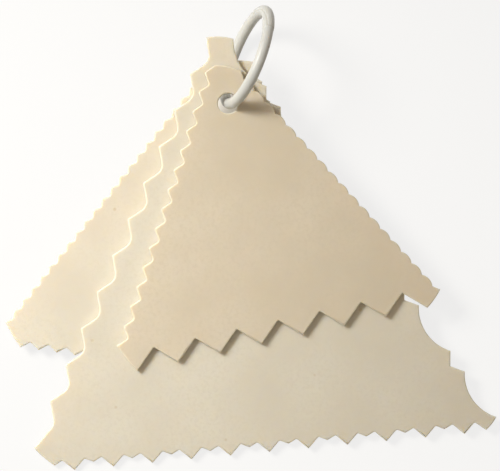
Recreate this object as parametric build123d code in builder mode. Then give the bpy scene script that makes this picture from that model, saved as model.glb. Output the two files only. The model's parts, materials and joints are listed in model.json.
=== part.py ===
"""A set of three icing smoothers, triangular scraper combs fanned out on one plastic ring.

The combs lie on each other. The ring goes through a hole near the apex of each comb, and its
lower half props the apexes up, so the set rests on the ring and on the far corners of the
combs. Uphill is +Y, and z = 0 is the table.
"""

from build123d import *
from math import acos, cos, degrees, radians, sin, sqrt
import os

# Sizes that all three combs share, in millimetres and degrees
comb_thickness = 1.5
stack_gap = 0.2
hole_radius = 2.9
tip_round = 0.25
corner_arch = 0.45

# Each side of a comb runs anticlockwise, and its cuts are how far from the corners of the
# triangle over the tips its pattern starts and ends. A pitch is fitted to what lies between.

# The front comb, the smallest, on top
front_base = 100.0
front_height = 86.6
front_hole_from_apex = 18.0
front_turn = 12.3
front_vee_pitch = 12.0
front_vee_depth = 5.6
front_vee_start_cut = 8.8
front_vee_end_cut = 7.2
front_vee_root_round = 0.35
front_scallop_pitch = 4.4
front_scallop_depth = 1.05
front_scallop_rise = 0.72
front_scallop_start_cut = 5.0
front_scallop_end_cut = 11.4
front_wave_pitch = 5.8
front_wave_depth = 2.3
front_wave_start_cut = 6.4
front_wave_end_cut = 9.5
front_wave_round = 0.8

# The middle comb, the largest
middle_base = 138.8
middle_height = 125.3
middle_hole_from_apex = 25.8
middle_apex_shift = 1.1
middle_base_shift = 0.4
middle_turn = 5.3
middle_tooth_pitch = 11.05
middle_tooth_depth = 3.1
middle_tooth_half_width = 3.15
middle_first_tip_cut = 16.1
middle_last_tip_cut = 11.7
middle_tooth_start_cut = 10.6
middle_tooth_end_cut = 5.5
middle_tooth_start_depth = 1.85
middle_tooth_end_depth = 0.6
middle_nib_depth = 1.9
middle_tooth_root_round = 0.5
middle_cove_start_cut = 4.6
middle_cove_end_cut = 8.8
middle_first_cove_length = 15.7
middle_last_cove_length = 16.4
middle_cove_depth = 2.7
middle_notch_pitch = 23.0
middle_notch_width = 7.1
middle_notch_depth = 2.5
middle_wave_pitch = 11.14
middle_wave_depth = 3.7
middle_first_root_cut = 13.1
middle_last_root_cut = 17.4
middle_wave_start_cut = 7.4
middle_wave_start_depth = 0.2
middle_wave_end_cut = 8.9
middle_wave_end_depth = 1.1
middle_wave_tip_round = 0.7
middle_wave_root_round = 3.2

# The back comb, at the bottom: its right side is hidden, and gets a plain scalloped edge
back_base = 115.2
back_height = 99.75
back_hole_from_apex = 22.75
back_turn = -8.3
back_vee_pitch = 5.2
back_vee_depth = 1.9
back_vee_start_cut = 9.3
back_vee_end_cut = 7.2
back_vee_root_round = 0.3
back_cove_pitch = 6.1
back_cove_depth = 1.3
back_cove_start_cut = 6.2
back_cove_end_cut = 11.4
back_wave_pitch = 4.1
back_wave_depth = 1.3
back_wave_start_cut = 12.7
back_wave_end_cut = 7.8
back_wave_round = 0.6

# The ring: a round rod bent to a circle, with a thicker sleeve where its two ends snap together
ring_radius = 14.0
ring_wire_radius = 1.55
ring_turn = 69.0
ring_lean = 74.0
ring_shift = 0.3
sleeve_radius = 1.7
sleeve_start = -22.0
sleeve_end = 50.0

# How close a comb's edge may come to the ring's far side when the comb is fanned right round
fan_clearance = 1.2

# The search for the tilt at rest, in degrees and steps
steepest_tilt = 45
tilt_steps = 30

os.makedirs("parts", exist_ok=True)


class Side:
    """One side of a comb's triangle, which runs anticlockwise with the comb on its left."""

    def __init__(self, start, end):
        self.start = start
        self.length = (end - start).length
        self.run = (end - start).normalized()
        self.inward = Vector(-self.run.Y, self.run.X)

    def at(self, along, depth=0):
        """Return the point a distance along the side and a depth inside it."""
        return self.start + self.run * along + self.inward * depth


def sides_of(base, height, hole_from_apex, apex_shift=0, base_shift=0):
    """Return the bottom, right and left sides of a comb's triangle, seen from its hole."""
    foot = hole_from_apex - height
    low_left = Vector(base_shift - base / 2, foot)
    low_right = Vector(base_shift + base / 2, foot)
    apex = Vector(-apex_shift, hole_from_apex)
    return Side(low_left, low_right), Side(low_right, apex), Side(apex, low_left)


def fit(side, start_cut, end_cut, pitch, extra=0):
    """Return how many whole pitches, with an extra part of one, fit between the cuts, and the pitch."""
    length = side.length - start_cut - end_cut
    count = max(1, round(length / pitch - extra))
    return count, length / (count + extra)


def draw_zigzag(side, points, first_round, second_round):
    """Draw a toothed edge through its points, whose inner corners take the two rounds in turn."""
    rounds = [(first_round, second_round)[index % 2] for index in range(len(points) - 2)]
    FilletPolyline([side.at(*point) for point in points], radius=rounds)
    return side.at(*points[0]), side.at(*points[-1])


def draw_arcs(side, stops, rise):
    """Draw a chain of arcs from stop to stop, each rising by the given depth at its middle."""
    for (along, depth), (next_along, next_depth) in zip(stops, stops[1:]):
        middle = side.at((along + next_along) / 2, (depth + next_depth) / 2 + rise)
        ThreePointArc(side.at(along, depth), middle, side.at(next_along, next_depth))
    return side.at(*stops[0]), side.at(*stops[-1])


def draw_vees(side, start_cut, end_cut, pitch, depth, root_round):
    """Draw plain teeth that start and end with a tip."""
    count, step = fit(side, start_cut, end_cut, pitch)
    points = [(start_cut + step * half / 2, depth * (half % 2)) for half in range(2 * count + 1)]
    return draw_zigzag(side, points, root_round, tip_round)


def draw_wave(side, start_cut, end_cut, pitch, depth, rounding):
    """Draw rounded teeth that start with a root and end with a tip."""
    count, step = fit(side, start_cut, end_cut, pitch, 1 / 2)
    points = [(start_cut + step * half / 2, depth * ((half + 1) % 2)) for half in range(2 * count + 2)]
    return draw_zigzag(side, points, rounding, rounding)


def draw_corner(side_end, side_start, arch):
    """Close a corner from the end of one side to the start of the next, with a slight arch."""
    run = side_start - side_end
    outward = Vector(run.Y, -run.X).normalized()
    ThreePointArc(side_end, (side_end + side_start) / 2 + outward * arch, side_start)


def draw_three_corners(bottom, right, left):
    """Join three drawn sides, each given as its first and last point."""
    draw_corner(bottom[1], right[0], corner_arch / 2)
    draw_corner(right[1], left[0], corner_arch)
    draw_corner(left[1], bottom[0], corner_arch / 2)


def draw_scallops(side, start_cut, end_cut, pitch, depth, rise):
    """Draw small scallops that rise from the notches between them, and a straight run at each end."""
    count, step = fit(side, start_cut, end_cut, pitch)
    end = start_cut + step * count
    notches = [(start_cut + step * (index + 1 / 2), depth) for index in range(count)]
    Line(side.at(start_cut), side.at(*notches[0]))
    draw_arcs(side, notches, -rise)
    Line(side.at(*notches[-1]), side.at(end))
    return side.at(start_cut), side.at(end)


def draw_front_outline():
    """Right-angled teeth below, small scallops on the right, rounded teeth on the left."""
    low, right, left = sides_of(front_base, front_height, front_hole_from_apex)
    vees = draw_vees(
        low, front_vee_start_cut, front_vee_end_cut, front_vee_pitch, front_vee_depth, front_vee_root_round
    )
    scallops = draw_scallops(
        right,
        front_scallop_start_cut,
        front_scallop_end_cut,
        front_scallop_pitch,
        front_scallop_depth,
        front_scallop_rise,
    )
    wave = draw_wave(
        left, front_wave_start_cut, front_wave_end_cut, front_wave_pitch, front_wave_depth, front_wave_round
    )
    draw_three_corners(vees, scallops, wave)


def draw_middle_teeth(side):
    """Draw large teeth with a small nib between each two."""
    count, step = fit(side, middle_first_tip_cut, middle_last_tip_cut, middle_tooth_pitch)
    points = [(middle_tooth_start_cut, middle_tooth_start_depth)]
    for index in range(count + 1):
        tip = middle_first_tip_cut + step * index
        points.append((tip - middle_tooth_half_width, middle_tooth_depth))
        points.append((tip, 0))
        points.append((tip + middle_tooth_half_width, middle_tooth_depth))
        if index < count:
            points.append((tip + step / 2, middle_nib_depth))
    points.append((side.length - middle_tooth_end_cut, middle_tooth_end_depth))
    return draw_zigzag(side, points, middle_tooth_root_round, tip_round)


def draw_coves(side):
    """Draw wide coves with a double point between each two, split by a square notch."""
    first_notch_cut = middle_cove_start_cut + middle_first_cove_length
    last_notch_cut = middle_cove_end_cut + middle_last_cove_length + middle_notch_width
    count, step = fit(side, first_notch_cut, last_notch_cut, middle_notch_pitch)
    cove_start = middle_cove_start_cut
    for index in range(count + 1):
        first = first_notch_cut + step * index
        last = first + middle_notch_width
        draw_arcs(side, [(cove_start, 0), (first, 0)], middle_cove_depth)
        notch = [(first, 0), ((first + last) / 2, middle_notch_depth), (last, 0)]
        draw_zigzag(side, notch, tip_round, tip_round)
        cove_start = last
    cove_end = side.length - middle_cove_end_cut
    draw_arcs(side, [(cove_start, 0), (cove_end, 0)], middle_cove_depth)
    return side.at(middle_cove_start_cut), side.at(cove_end)


def draw_middle_wave(side):
    """Draw a deep wave with sharp tips and round roots, cut off on its way out at both ends."""
    count, step = fit(side, middle_first_root_cut, middle_last_root_cut, middle_wave_pitch)
    points = [(middle_wave_start_cut, middle_wave_start_depth)]
    for half in range(2 * count + 1):
        points.append((middle_first_root_cut + step * half / 2, middle_wave_depth * ((half + 1) % 2)))
    points.append((side.length - middle_wave_end_cut, middle_wave_end_depth))
    return draw_zigzag(side, points, middle_wave_root_round, middle_wave_tip_round)


def draw_middle_outline():
    """Large and small teeth below, coves and notches on the right, a deep wave on the left."""
    low, right, left = sides_of(
        middle_base, middle_height, middle_hole_from_apex, middle_apex_shift, middle_base_shift
    )
    draw_three_corners(draw_middle_teeth(low), draw_coves(right), draw_middle_wave(left))


def draw_back_outline():
    """Small plain teeth below, shallow coves on the right, a fine wave on the left."""
    low, right, left = sides_of(back_base, back_height, back_hole_from_apex)
    vees = draw_vees(
        low, back_vee_start_cut, back_vee_end_cut, back_vee_pitch, back_vee_depth, back_vee_root_round
    )
    count, step = fit(right, back_cove_start_cut, back_cove_end_cut, back_cove_pitch)
    stops = [(back_cove_start_cut + step * index, 0) for index in range(count + 1)]
    coves = draw_arcs(right, stops, back_cove_depth)
    wave = draw_wave(
        left, back_wave_start_cut, back_wave_end_cut, back_wave_pitch, back_wave_depth, back_wave_round
    )
    draw_three_corners(vees, coves, wave)


# The stack, from the back comb up: height of each comb's lower face over the middle of the stack
layer_step = comb_thickness + stack_gap
middle_low = -comb_thickness / 2
back_low = middle_low - layer_step
front_low = middle_low + layer_step


def comb_plane(card, low, turn):
    """Return the plane of a comb's lower face, with its origin on the hole's axis."""
    turned = card.x_dir * cos(radians(turn)) + card.y_dir * sin(radians(turn))
    return Plane(card.origin + card.z_dir * low, x_dir=turned, z_dir=card.z_dir)


def comb_planes(card):
    """Return the lower planes of the front, middle and back combs."""
    return (
        comb_plane(card, front_low, front_turn),
        comb_plane(card, middle_low, middle_turn),
        comb_plane(card, back_low, back_turn),
    )


def ring_plane_on(card):
    """Return the plane of the ring's circle, whose +X points away from the holes.

    The rod leans on one side of the holes, so it passes beside their centres by the shift.
    """
    turn, lean = radians(ring_turn), radians(ring_lean)
    away = card.x_dir * cos(turn) + card.y_dir * sin(turn)
    aside = card.x_dir * sin(turn) - card.y_dir * cos(turn)
    up = aside * cos(lean) + card.z_dir * sin(lean)
    near = card.origin + card.x_dir * ring_shift
    return Plane(near + away * ring_radius, x_dir=away, z_dir=away.cross(up))


def ring_reach(plane, direction, rod_radius):
    """Return how far the ring reaches from its centre in a direction."""
    return ring_radius * sqrt(1 - plane.z_dir.dot(direction) ** 2) + rod_radius


def card_at(tilt, origin):
    """Return the plane of the stack's middle, its +Y uphill by the tilt."""
    return Plane(origin, x_dir=(1, 0, 0), z_dir=(0, -sin(radians(tilt)), cos(radians(tilt))))


def outline_points(plane, draw):
    """Return the points of a comb's outline on its lower and its upper face."""
    with BuildSketch(plane) as face:
        with BuildLine():
            draw()
        make_face()
    low_points = [vertex.center() for vertex in face.sketch.vertices()]
    return low_points + [point + plane.z_dir * comb_thickness for point in low_points]


# The outlines of the three combs, laid flat
flat_points = []
for plane, draw in zip(comb_planes(Plane.XY), (draw_front_outline, draw_middle_outline, draw_back_outline)):
    flat_points += outline_points(plane, draw)


def ring_low_over_combs(tilt):
    """Return how far the ring's lowest point is over the combs' lowest point at a tilt."""
    card = card_at(tilt, (0, 0, 0))
    ring_plane = ring_plane_on(card)
    comb_low = min(card.from_local_coords(point).Z for point in flat_points)
    return ring_plane.origin.Z - ring_reach(ring_plane, Vector(0, 0, 1), ring_wire_radius) - comb_low


# The tilt at rest, where the ring's lowest point is level with the lowest corner of the combs
low_tilt, high_tilt = 0, steepest_tilt
for step in range(tilt_steps):
    rest_tilt = (low_tilt + high_tilt) / 2
    if ring_low_over_combs(rest_tilt) < 0:
        low_tilt = rest_tilt
    else:
        high_tilt = rest_tilt

# The origin is on the table, under the middle of the whole set
card = card_at(rest_tilt, (0, 0, 0))
ring_plane = ring_plane_on(card)
points = [card.from_local_coords(point) for point in flat_points]
for axis, rod_radius in (
    (Vector(1, 0, 0), ring_wire_radius),
    (Vector(0, 1, 0), sleeve_radius),
    (Vector(0, 0, 1), ring_wire_radius),
):
    reach = axis * ring_reach(ring_plane, axis, rod_radius)
    points += [ring_plane.origin - reach, ring_plane.origin + reach]
x_middle = (min(point.X for point in points) + max(point.X for point in points)) / 2
y_middle = (min(point.Y for point in points) + max(point.Y for point in points)) / 2
card = card_at(rest_tilt, (-x_middle, -y_middle, -min(point.Z for point in points)))
front_plane, middle_plane, back_plane = comb_planes(card)

with BuildPart() as comb_front:
    with BuildSketch(front_plane):
        with BuildLine():
            draw_front_outline()
        make_face()
        Circle(hole_radius, mode=Mode.SUBTRACT)
    extrude(amount=comb_thickness)
comb_front.part.label = "comb_front"

with BuildPart() as comb_middle:
    with BuildSketch(middle_plane):
        with BuildLine():
            draw_middle_outline()
        make_face()
        Circle(hole_radius, mode=Mode.SUBTRACT)
    extrude(amount=comb_thickness)
comb_middle.part.label = "comb_middle"

with BuildPart() as comb_back:
    with BuildSketch(back_plane):
        with BuildLine():
            draw_back_outline()
        make_face()
        Circle(hole_radius, mode=Mode.SUBTRACT)
    extrude(amount=comb_thickness)
comb_back.part.label = "comb_back"

# The ring's circle is turned about its own axis, and the sleeve covers one arc of it
ring_plane = ring_plane_on(card)
ring_axis = Axis(ring_plane.origin, ring_plane.z_dir)


def ring_section(angle):
    """Return the plane across the rod at an angle round the ring."""
    outward = ring_plane.x_dir * cos(radians(angle)) + ring_plane.y_dir * sin(radians(angle))
    centre = ring_plane.origin + outward * ring_radius
    return Plane(centre, x_dir=outward, z_dir=ring_plane.z_dir.cross(outward))


with BuildPart() as ring:
    with BuildSketch(ring_section(sleeve_end)):
        Circle(ring_wire_radius)
    revolve(axis=ring_axis, revolution_arc=360)
    with BuildSketch(ring_section(sleeve_start)):
        Circle(sleeve_radius)
    revolve(axis=ring_axis, revolution_arc=sleeve_end - sleeve_start)
ring.part.label = "ring"

for piece in (comb_front, comb_middle, comb_back, ring):
    export_step(piece.part, f"parts/{piece.part.label}.step")
    box = piece.part.bounding_box()
    print(piece.part.label, [round(v, 2) for v in (*box.min, *box.max)], round(piece.part.volume, 1))


def fan_limit(base, height, hole_from_apex):
    """Return how far a comb's apex can turn from the ring before its side meets the ring."""
    side_slope = degrees(acos(height / sqrt(height**2 + (base / 2) ** 2)))
    side_distance = hole_from_apex * sin(radians(side_slope))
    reach = (side_distance + ring_wire_radius + fan_clearance) / (2 * ring_radius)
    return 90 - side_slope + degrees(acos(reach))


print("rest tilt", round(rest_tilt, 3), "hole centre", card.origin, "card normal", card.z_dir)
for name, turn, limit in (
    ("front", front_turn, fan_limit(front_base, front_height, front_hole_from_apex)),
    ("middle", middle_turn, fan_limit(middle_base, middle_height, middle_hole_from_apex)),
    ("back", back_turn, fan_limit(back_base, back_height, back_hole_from_apex)),
):
    offset = 90 + turn - ring_turn
    print(name, "fan range", round(-limit - offset, 1), round(limit - offset, 1))
print("ring centre", ring_plane.origin, "ring axis", ring_plane.z_dir)
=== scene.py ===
"""Dresses a set of three icing smoothers on their ring.

The combs are plates with rounded rims, the ring has the grooves of its snap, and all are ivory or
off-white plastic.
"""

import json
import math

import bpy
import numpy as np
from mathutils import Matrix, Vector


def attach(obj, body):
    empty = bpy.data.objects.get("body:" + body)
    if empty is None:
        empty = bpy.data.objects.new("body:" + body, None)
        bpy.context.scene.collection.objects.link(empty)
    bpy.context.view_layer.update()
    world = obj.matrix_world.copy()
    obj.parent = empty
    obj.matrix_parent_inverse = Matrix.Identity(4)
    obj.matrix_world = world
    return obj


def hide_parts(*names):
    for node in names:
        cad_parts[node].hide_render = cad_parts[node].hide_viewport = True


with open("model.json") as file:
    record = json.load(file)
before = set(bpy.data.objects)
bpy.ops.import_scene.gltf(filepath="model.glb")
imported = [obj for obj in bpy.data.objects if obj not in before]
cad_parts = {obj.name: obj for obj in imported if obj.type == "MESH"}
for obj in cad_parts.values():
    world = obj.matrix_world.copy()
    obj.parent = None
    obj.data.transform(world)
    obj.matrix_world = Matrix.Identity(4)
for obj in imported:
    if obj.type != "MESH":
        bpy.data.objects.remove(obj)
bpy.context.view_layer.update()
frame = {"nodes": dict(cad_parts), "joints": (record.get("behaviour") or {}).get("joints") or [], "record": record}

MM = 0.001

# The hinge through the combs' holes gives the plane that the combs lie in
joint = frame["joints"][0]
hole = np.array(joint["pos_m"])
card_normal = np.array(joint["axis"])
card_right = np.array([1.0, 0.0, 0.0])
card_up = np.cross(card_normal, card_right)

# The ring's circle: its centre and axis, and the direction from the holes to its far side. The rod
# passes slightly to one side of the middle of the holes.
rod_aside = 0.3 * MM
hanging = frame["record"]["mounts"][0]
ring_centre = np.array(hanging["pos_m"])
ring_axis = np.array(hanging["axis"])
ring_near = hole + rod_aside * card_right
ring_radius = np.linalg.norm(ring_centre - ring_near)
ring_away = (ring_centre - ring_near) / ring_radius
ring_side = np.cross(ring_axis, ring_away)

# Combs: the rim's rounding, its steps, and the turn up to which a wall is shaded as one smooth face
rim_round = 0.35 * MM
rim_steps = 5
smooth_turn = math.radians(35)

# Ring: rod, sleeve, and the fine gaps of the lap joint, which turn about the rod along the sleeve
rod_radius = 1.55 * MM
sleeve_radius = 1.7 * MM
sleeve_start = math.radians(-22)
sleeve_end = math.radians(50)
shoulder = math.radians(1.6)
seam_depth = 0.16 * MM
seam_width = 0.16 * MM
seam_turn = math.radians(60)
seam_twist = math.pi / 2
ring_steps = 900
rod_steps = 72

# Plastic: refraction, how far light travels inside it, and the depth of its grain
plastic_ior = 1.49
light_travel = 2.0 * MM
grain_strength = 0.5
grain_depth = 0.03 * MM

# Floor: its size and colour, how white it is seen, and the soft patch under the holes that isn't whitened, a
# painted shade under the set
floor_size = 3.0
floor_colour = (0.76, 0.74, 0.7, 1)
floor_white = 0.8
painted_shade_from = 2.2 * MM
painted_shade_to = 9 * MM

# The soft light all round, and the lamp, a square soft box up on the left that aims short of the set
sky_colour = (1.0, 0.9, 0.74, 1)
sky_strength = 0.31
lamp_colour = (1.0, 0.985, 0.95)
lamp_energy = 0.37
lamp_size = 0.2
lamp_spread = math.radians(52)
lamp_distance = 0.54
lamp_aim_left = 95 * MM

# The view: its middle to the right of and below the hole, its width, and the camera's distance
view_right = 6.24 * MM
view_down = 37.42 * MM
photo_width = 141.75 * MM
camera_distance = 1.2
sensor_width = 36


def unit(rows):
    """Each row divided by its length."""
    return rows / np.linalg.norm(rows, axis=-1, keepdims=True)


def make_piece(name, points, faces, edge, corner_normals=None):
    """A smooth mesh object from points, faces, each point's share of rim and, if given, corner normals."""
    mesh = bpy.data.meshes.new(name)
    mesh.from_pydata(points.tolist(), [], faces)
    mesh.polygons.foreach_set("use_smooth", np.ones(len(faces), bool))
    mesh.attributes.new("edge", "FLOAT", "POINT").data.foreach_set("value", edge.astype(np.float32))
    if corner_normals is not None:
        mesh.normals_split_custom_set(corner_normals.tolist())
    mesh.update()
    piece = bpy.data.objects.new(name, mesh)
    bpy.context.scene.collection.objects.link(piece)
    return piece


def rounded_plate(name, node):
    """The plate of a CAD node with its rims rounded.

    A quarter circle is carried along the node's outline and hole on both faces: at an angle a of
    the quarter, the outline moves into the plate by r (1 - cos a) and the height is r (1 - sin a)
    inside the face, where r is the rim's rounding. The flat faces keep the node's own triangles.
    """
    mesh = frame["nodes"][node].data
    mesh.calc_loop_triangles()
    corners = np.empty(len(mesh.vertices) * 3)
    mesh.vertices.foreach_get("co", corners)
    triangles = np.empty(len(mesh.loop_triangles) * 3, int)
    mesh.loop_triangles.foreach_get("vertices", triangles)
    local = (corners.reshape(-1, 3) - hole) @ np.array([card_right, card_up, card_normal]).T
    low, high = local[:, 2].min(), local[:, 2].max()
    on_top = local[:, 2] > (low + high) / 2
    triangles = triangles.reshape(-1, 3)
    triangles = triangles[on_top[triangles].all(axis=1)]
    used, triangles = np.unique(triangles, return_inverse=True)
    flat, merged = np.unique(local[used, :2].round(8), axis=0, return_inverse=True)
    cap = merged.ravel()[triangles.reshape(-1, 3)]
    a, b, c = (flat[cap[:, i]] for i in range(3))
    ab, ac = b - a, c - a
    area = ab[:, 0] * ac[:, 1] - ab[:, 1] * ac[:, 0]
    cap = cap[area > 0]

    # The outline's edges are those that only one triangle has, each with the plate on its left
    count = len(flat)
    sides = np.concatenate([cap[:, [0, 1]], cap[:, [1, 2]], cap[:, [2, 0]]])
    alone = ~np.isin(sides[:, 0] * count + sides[:, 1], sides[:, 1] * count + sides[:, 0])
    start, end = sides[alone].T
    run = unit(flat[end] - flat[start])
    out = np.stack([run[:, 1], -run[:, 0]], axis=1)
    out_before, out_after = np.zeros((count, 2)), np.zeros((count, 2))
    out_before[end], out_after[start] = out, out
    middle = unit(out_before + out_after)
    mitre = middle / (middle * out_after).sum(axis=1, keepdims=True)
    is_smooth = (out_before * out_after).sum(axis=1) > math.cos(smooth_turn)

    # Rows of the rim from the lower face, round the wall, to the upper face
    quarter = np.linspace(0, math.pi / 2, rim_steps)
    angle = np.concatenate([-quarter[::-1], quarter])
    inset = rim_round * (1 - np.cos(angle))
    rise = rim_round * (1 - np.abs(np.sin(angle)))
    height = np.where(np.arange(len(angle)) < rim_steps, low + rise, high - rise)
    plane = flat[None] - mitre[None] * inset[:, None, None]
    raised = height[:, None, None] * card_normal
    rows = hole + plane[..., :1] * card_right + plane[..., 1:] * card_up + raised
    points = rows.reshape(-1, 3)
    step = np.arange(len(angle) - 1)[:, None] * count
    walls = np.stack([start + step, end + step, end + step + count, start + step + count], axis=-1)
    top = cap + (len(angle) - 1) * count
    faces = walls.reshape(-1, 4).tolist() + top.tolist() + cap[:, ::-1].tolist()

    # Corner normals: the wall's own direction, turned up or down by the quarter's angle
    at_start = np.where(is_smooth[start, None], middle[start], out)
    at_end = np.where(is_smooth[end, None], middle[end], out)
    flat_normal = np.stack([at_start, at_end, at_end, at_start], axis=1)[None]
    wall_angle = np.stack([angle[:-1], angle[:-1], angle[1:], angle[1:]], axis=1)[:, None, :, None]
    sideways = flat_normal[..., :1] * card_right + flat_normal[..., 1:] * card_up
    wall_normals = (sideways * np.cos(wall_angle) + card_normal * np.sin(wall_angle)).reshape(-1, 3)
    cap_normals = np.tile(card_normal, (cap.size, 1))
    normals = np.concatenate([wall_normals, cap_normals, -cap_normals])
    edge = np.repeat(np.cos(angle), count)
    return make_piece(name, points, faces, edge, normals)


def bump_at(distance, width):
    """A smooth bump, 1 at no distance and falling as exp(-(d / w) squared)."""
    return np.exp(-((distance / width) ** 2))


def snap_ring(name):
    """A round rod bent to a circle, with a thicker sleeve cut by the seams of a lap joint.

    At an angle t round the ring and p round the rod, the surface is centre + (R + r cos p) e(t)
    + r sin p times the axis. r is the rod's radius, raised to the sleeve's over its arc by two
    smooth steps, less the seams: one line along each side of the sleeve, turning about the rod,
    and half a round at each end of it.
    """
    t = np.linspace(-math.pi, math.pi, ring_steps, endpoint=False)[:, None]
    p = np.linspace(0, 2 * math.pi, rod_steps, endpoint=False)[None]
    rise = 1 + np.exp(-(t - sleeve_start) / shoulder * 4)
    fall = 1 + np.exp((t - sleeve_end) / shoulder * 4)
    share = 1 / rise / fall
    along = np.clip((t - sleeve_start) / (sleeve_end - sleeve_start), 0, 1)
    turn = p - seam_turn - seam_twist * along
    across = np.sin(turn) * sleeve_radius
    inside = (t > sleeve_start + shoulder) & (t < sleeve_end - shoulder)
    seam = bump_at(across, seam_width) * inside
    start_gap = bump_at((t - sleeve_start - shoulder) * ring_radius, seam_width) * (np.sin(turn) > 0)
    end_gap = bump_at((t - sleeve_end + shoulder) * ring_radius, seam_width) * (np.sin(turn) < 0)
    groove = np.maximum(np.maximum(seam, start_gap), end_gap)
    r = rod_radius + (sleeve_radius - rod_radius) * share - seam_depth * groove
    outward = np.cos(t)[..., None] * ring_away + np.sin(t)[..., None] * ring_side
    away, along_axis = ring_radius + r * np.cos(p), r * np.sin(p)
    points = ring_centre + away[..., None] * outward + along_axis[..., None] * ring_axis
    i, j = np.meshgrid(np.arange(ring_steps), np.arange(rod_steps), indexing="ij")
    here, ahead = i * rod_steps, (i + 1) % ring_steps * rod_steps
    j_next = (j + 1) % rod_steps
    quads = np.stack([here + j, ahead + j, ahead + j_next, here + j_next], axis=-1)
    return make_piece(name, points.reshape(-1, 3), quads.reshape(-1, 4).tolist(), groove.ravel())


def place(tree, kind, settings=None, **values):
    """A node with its settings and input values, each a value or another node's output."""
    node = tree.nodes.new(kind)
    for key, value in (settings or {}).items():
        setattr(node, key, value)
    for key, value in values.items():
        socket = node.inputs[int(key[1:]) if key[0] == "i" and key[1:].isdigit() else key.replace("_", " ")]
        if isinstance(value, bpy.types.NodeSocket):
            tree.links.new(value, socket)
        else:
            socket.default_value = value
    return node


def math_node(tree, operation, first, second=0.0):
    """The result of one sum on two values."""
    return place(tree, "ShaderNodeMath", {"operation": operation}, i0=first, i1=second).outputs[0]


def mix_colours(tree, factor, first, second):
    """The colour between two by a factor."""
    return place(tree, "ShaderNodeMix", {"data_type": "RGBA"}, i0=factor, i6=first, i7=second).outputs[2]


def ramp(tree, value, low, high, to_low=0.0, to_high=1.0):
    """The value carried from one range to another and held at its ends."""
    ends = {"i1": low, "i2": high, "i3": to_low, "i4": to_high}
    return place(tree, "ShaderNodeMapRange", {"clamp": True}, i0=value, **ends).outputs[0]


def build_moulded_surface():
    """Moulded plastic: slow changes of tone, a fine grain, small dark pits, and rims that are smoother and take
    the rim colour, which on the combs is a painted highlight.
    """
    group = bpy.data.node_groups.new("moulded_surface", "ShaderNodeTree")
    for name, kind, value in (
        ("Colour", "NodeSocketColor", (0.8, 0.8, 0.8, 1)),
        ("Deep colour", "NodeSocketColor", (0.6, 0.6, 0.6, 1)),
        ("Pit colour", "NodeSocketColor", (0.3, 0.3, 0.3, 1)),
        ("Rim colour", "NodeSocketColor", (0.9, 0.9, 0.9, 1)),
        ("Rim", "NodeSocketFloat", 0.0),
        ("Tone size", "NodeSocketFloat", 40.0),
        ("Grain size", "NodeSocketFloat", 1500.0),
        ("Grain colour", "NodeSocketFloat", 0.3),
        ("Pit size", "NodeSocketFloat", 0.1),
        ("Roughness", "NodeSocketFloat", 0.4),
    ):
        group.interface.new_socket(name, in_out="INPUT", socket_type=kind).default_value = value
    for name, kind in (
        ("Colour", "NodeSocketColor"),
        ("Roughness", "NodeSocketFloat"),
        ("Height", "NodeSocketFloat"),
    ):
        group.interface.new_socket(name, in_out="OUTPUT", socket_type=kind)
    given = group.nodes.new("NodeGroupInput").outputs
    coords = group.nodes.new("ShaderNodeTexCoord").outputs["Object"]
    slow = {"Scale": given["Tone size"], "Detail": 3.0, "Roughness": 0.55}
    fine = {"Scale": given["Grain size"], "Detail": 2.0, "Roughness": 0.6}
    tone = place(group, "ShaderNodeTexNoise", Vector=coords, **slow)
    grain = place(group, "ShaderNodeTexNoise", Vector=coords, **fine)

    # Pits lie in cells much larger than the grain, and only about a fifth of the cells have one
    cell_scale = math_node(group, "MULTIPLY", given["Grain size"], 0.16)
    cells = place(group, "ShaderNodeTexVoronoi", Vector=coords, Scale=cell_scale).outputs
    chance = place(group, "ShaderNodeSeparateColor", Color=cells["Color"]).outputs[0]
    rare = ramp(group, chance, 0.8, 0.82)
    near = ramp(group, math_node(group, "DIVIDE", cells["Distance"], given["Pit size"]), 0.5, 1.0, 1.0, 0.0)
    pit = math_node(group, "MULTIPLY", rare, near)

    # Colour: the tone's slow change, then the grain's flecks, the pits and the rims, whose colour is a painted
    # highlight on the combs and the darker seams on the ring
    deep = ramp(group, tone.outputs[0], 0.36, 0.66)
    mottled = mix_colours(group, deep, given["Colour"], given["Deep colour"])
    fleck = math_node(group, "MULTIPLY", ramp(group, grain.outputs[0], 0.45, 0.72), given["Grain colour"])
    grained = mix_colours(group, fleck, mottled, given["Deep colour"])
    pitted = mix_colours(group, pit, grained, given["Pit colour"])
    # Half of the rim colour goes on the rims: a painted highlight on the combs, the darker seams on the ring
    on_rim = math_node(group, "MULTIPLY", given["Rim"], 0.5)
    rimmed = mix_colours(group, on_rim, pitted, given["Rim colour"])

    # Roughness follows the tone and is lower on the rims. Height is the grain and tone, less the pits.
    rough = math_node(group, "ADD", given["Roughness"], ramp(group, tone.outputs[0], 0.3, 0.7, -0.05, 0.07))
    rough = math_node(group, "SUBTRACT", rough, math_node(group, "MULTIPLY", given["Rim"], 0.1))
    height = math_node(group, "ADD", grain.outputs[0], math_node(group, "MULTIPLY", tone.outputs[0], 1.5))
    height = math_node(group, "SUBTRACT", height, math_node(group, "MULTIPLY", pit, 2.0))
    given_out = group.nodes.new("NodeGroupOutput").inputs
    for name, value in (("Colour", rimmed), ("Roughness", rough), ("Height", height)):
        group.links.new(value, given_out[name])
    return group


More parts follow.
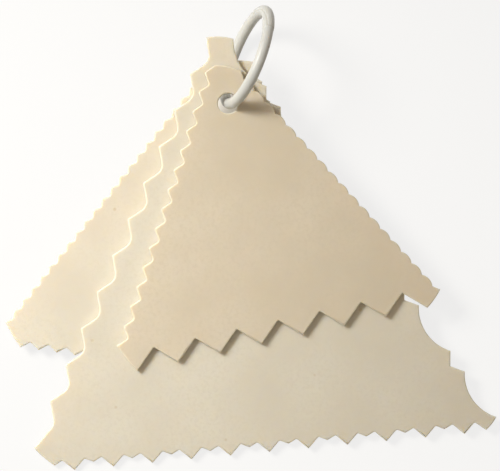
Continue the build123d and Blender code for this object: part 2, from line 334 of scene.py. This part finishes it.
def plastic(name, colours, glow, glow_spread, gloss, **sizes):
    """A slightly see-through moulded plastic, with its surface from the shared group."""
    material = bpy.data.materials.new(name)
    material.use_nodes = True
    tree = material.node_tree
    tree.nodes.clear()
    rim = place(tree, "ShaderNodeAttribute", {"attribute_name": "edge"}).outputs["Fac"]
    look = place(tree, "ShaderNodeGroup", {"node_tree": surface}, Rim=rim, **colours, **sizes)
    bump = place(
        tree, "ShaderNodeBump", Strength=grain_strength, Distance=grain_depth, Height=look.outputs["Height"]
    )
    shader = place(
        tree,
        "ShaderNodeBsdfPrincipled",
        Base_Color=look.outputs["Colour"],
        Roughness=look.outputs["Roughness"],
        Normal=bump.outputs[0],
        IOR=plastic_ior,
        Specular_IOR_Level=gloss,
        Subsurface_Weight=glow,
        Subsurface_Radius=glow_spread,
        Subsurface_Scale=light_travel,
    )
    out = tree.nodes.new("ShaderNodeOutputMaterial")
    tree.links.new(shader.outputs[0], out.inputs["Surface"])
    return material


def comb_plastic(name, colour, deep_colour):
    """Ivory plastic for a comb, which lets light in deep enough to glow along its lit edges."""
    colours = {
        "Colour": (*colour, 1),
        "Deep_colour": (*deep_colour, 1),
        "Pit_colour": (0.68, 0.6, 0.46, 1),
        # The rim colour is a painted highlight along the combs' rounded rims
        "Rim_colour": (0.82, 0.74, 0.59, 1),
    }
    return plastic(
        name,
        colours,
        glow=0.9,
        glow_spread=(1.0, 0.85, 0.6),
        gloss=0.25,
        Tone_size=42.0,
        Grain_size=1000.0,
        Grain_colour=0.9,
        Pit_size=0.1,
        Roughness=0.55,
    )


def seen_white(tree, plain, share):
    """The given shader, mixed by a share with white where the camera, a gloss or a clear piece looks."""
    path = tree.nodes.new("ShaderNodeLightPath").outputs
    looks = math_node(tree, "MAXIMUM", path["Is Camera Ray"], path["Is Glossy Ray"])
    looks = math_node(tree, "MAXIMUM", looks, path["Is Transmission Ray"])
    white = place(tree, "ShaderNodeEmission", Color=(1, 1, 1, 1), Strength=1.0)
    factor = math_node(tree, "MULTIPLY", looks, share)
    return place(tree, "ShaderNodeMixShader", i0=factor, i1=plain, i2=white.outputs[0]).outputs[0]


surface = build_moulded_surface()

# The front comb's plastic is slightly darker and yellower than that of the other two
front_plastic = comb_plastic("front_comb_plastic", (0.742, 0.659, 0.53), (0.697, 0.614, 0.481))
pale_plastic = comb_plastic("comb_plastic", (0.772, 0.72, 0.614), (0.726, 0.671, 0.563))

# The ring is greyer, glossier and less see-through, and the grooves of its lap joint are darker
ring_plastic = plastic(
    "ring_plastic",
    {
        "Colour": (0.66, 0.665, 0.64, 1),
        "Deep_colour": (0.6, 0.605, 0.58, 1),
        "Pit_colour": (0.45, 0.42, 0.35, 1),
        "Rim_colour": (0.55, 0.52, 0.44, 1),
    },
    glow=0.2,
    glow_spread=(1.0, 0.85, 0.65),
    gloss=0.5,
    Tone_size=120.0,
    Grain_size=2400.0,
    Grain_colour=0.5,
    Pit_size=0.16,
    Roughness=0.36,
)

for name, node, material in (
    ("front_comb", "comb_front", front_plastic),
    ("middle_comb", "comb_middle", pale_plastic),
    ("back_comb", "comb_back", pale_plastic),
):
    comb = rounded_plate(name, node)
    comb.data.materials.append(material)
    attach(comb, node)
    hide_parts(node)

ring = snap_ring("snap_ring")
ring.data.materials.append(ring_plastic)
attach(ring, "ring")
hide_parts("ring")

# The floor is pale and keeps the set's shadow. It is seen nearly white but for the soft patch under the holes, a
# painted shade where the floor isn't whitened.
floor_mesh = bpy.data.meshes.new("floor")
half = floor_size / 2
floor_corners = [(-half, -half, 0), (half, -half, 0), (half, half, 0), (-half, half, 0)]
floor_mesh.from_pydata(floor_corners, [], [(0, 1, 2, 3)])
floor = bpy.data.objects.new("floor", floor_mesh)
bpy.context.scene.collection.objects.link(floor)
pale = bpy.data.materials.new("pale_floor")
pale.use_nodes = True
pale.node_tree.nodes.clear()
matt = place(pale.node_tree, "ShaderNodeBsdfDiffuse", Color=floor_colour).outputs[0]
floor_place = place(pale.node_tree, "ShaderNodeTexCoord").outputs["Object"]
under_hole = tuple((hole - card_normal * hole[2] / card_normal[2]).tolist())
from_hole = place(
    pale.node_tree, "ShaderNodeVectorMath", {"operation": "DISTANCE"}, i0=floor_place, i1=under_hole
).outputs["Value"]
# Inside the patch the whitening is left out. This is a painted shade that shows the floor's plain colour and real
# shading, darker than the whitened floor round it.
white_share = ramp(pale.node_tree, from_hole, painted_shade_from, painted_shade_to, 0.0, floor_white)
floor_out = pale.node_tree.nodes.new("ShaderNodeOutputMaterial")
pale.node_tree.links.new(seen_white(pale.node_tree, matt, white_share), floor_out.inputs["Surface"])
floor_mesh.materials.append(pale)

# A soft light all round
world = bpy.data.worlds.new("studio")
bpy.context.scene.world = world
world.use_nodes = True
world.node_tree.nodes.clear()
sky = place(world.node_tree, "ShaderNodeBackground", Color=sky_colour, Strength=sky_strength).outputs[0]
sky_out = world.node_tree.nodes.new("ShaderNodeOutputWorld")
world.node_tree.links.new(seen_white(world.node_tree, sky, 1.0), sky_out.inputs["Surface"])

# The lamp
view_middle = hole + view_right * card_right - view_down * card_up
lamp_direction = unit(-0.8 * card_right + 0.48 * card_up + 0.72 * card_normal)
lamp_aim = view_middle - lamp_aim_left * card_right
lamp = bpy.data.lights.new("soft_box", "AREA")
lamp.shape = "SQUARE"
lamp.size = lamp_size
lamp.energy = lamp_energy
lamp.spread = lamp_spread
lamp.color = lamp_colour
lamp_object = bpy.data.objects.new("soft_box", lamp)
lamp_place = view_middle + lamp_direction * lamp_distance
lamp_object.location = Vector(lamp_place)
lamp_object.rotation_euler = Vector(lamp_place - lamp_aim).to_track_quat("Z", "Y").to_euler()
bpy.context.scene.collection.objects.link(lamp_object)

# The camera, square to the combs
camera = bpy.data.cameras.new("camera")
camera.sensor_fit = "HORIZONTAL"
camera.sensor_width = sensor_width
camera.lens = sensor_width * camera_distance / photo_width
camera.clip_start = 0.01
camera_object = bpy.data.objects.new("camera", camera)
camera_object.location = Vector(view_middle + card_normal * camera_distance)
camera_object.rotation_euler = Vector(card_normal).to_track_quat("Z", "Y").to_euler()
bpy.context.scene.collection.objects.link(camera_object)
bpy.context.scene.camera = camera_object
bpy.context.scene.view_settings.view_transform = "Standard"
